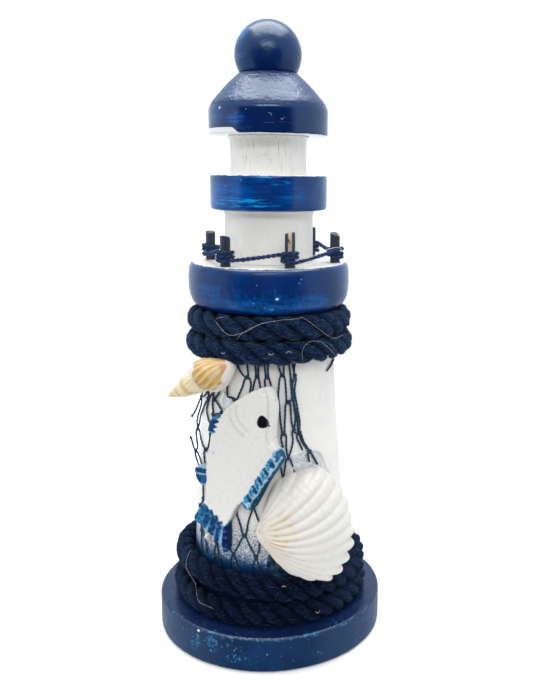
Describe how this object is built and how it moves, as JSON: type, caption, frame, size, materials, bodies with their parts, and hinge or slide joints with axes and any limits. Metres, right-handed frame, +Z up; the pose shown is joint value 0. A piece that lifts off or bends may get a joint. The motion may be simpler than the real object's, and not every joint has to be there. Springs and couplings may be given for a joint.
{
  "type": "lighthouse decoration",
  "caption": "Free-standing turned-wood lighthouse decoration with rope wraps, a twine-railed gallery, a draped fishing net, a carved fish and glued sea shells.",
  "frame": {"origin": "centre of the base underside, on the turning axis", "axes": "+Z up along the turning axis; the front with the fish and cockle looks toward -Y, and the picture's right is +X"},
  "size_m": [0.071, 0.071, 0.1849],
  "materials": {
    "navy_paint": "semi-gloss navy paint on turned wood",
    "white_paint": "satin white paint on turned wood",
    "bare_wood": "bare dowel rod",
    "post_paint": "dark painted stick with worn stripes",
    "screw_steel": "zinc-plated",
    "twine": "twisted navy twine",
    "rope": "soft laid navy cotton",
    "net_twine": "knotted dark blue-green twine",
    "fish_paint": "matte white paint with blue painted fins",
    "glue": "milky translucent glue",
    "whelk": "polished natural shell, cream with tan bands",
    "cockle": "matte natural shell, cream white"
  },
  "bodies": {
    "root": {"base_disc": "navy_paint", "base_screw": "screw_steel", "tower_trunk": "white_paint", "gallery_dowel": "bare_wood", "gallery_deck": "navy_paint", "lantern_spindle": "white_paint", "roof_dowel": "bare_wood", "roof_cap": "navy_paint", "finial_dowel": "bare_wood", "ball_finial": "navy_paint", "railing_post_1": "post_paint", "railing_post_2": "post_paint", "railing_post_3": "post_paint", "railing_post_4": "post_paint", "railing_post_5": "post_paint", "railing_post_6": "post_paint", "railing_cord": "twine", "upper_rope": "rope", "lower_rope": "rope", "fishing_net": "net_twine", "fish_plaque": "fish_paint", "fish_glue": "glue", "whelk_shell": "whelk", "whelk_glue": "glue", "cockle_shell": "cockle", "cockle_glue": "glue"}
  },
  "joints": []
}
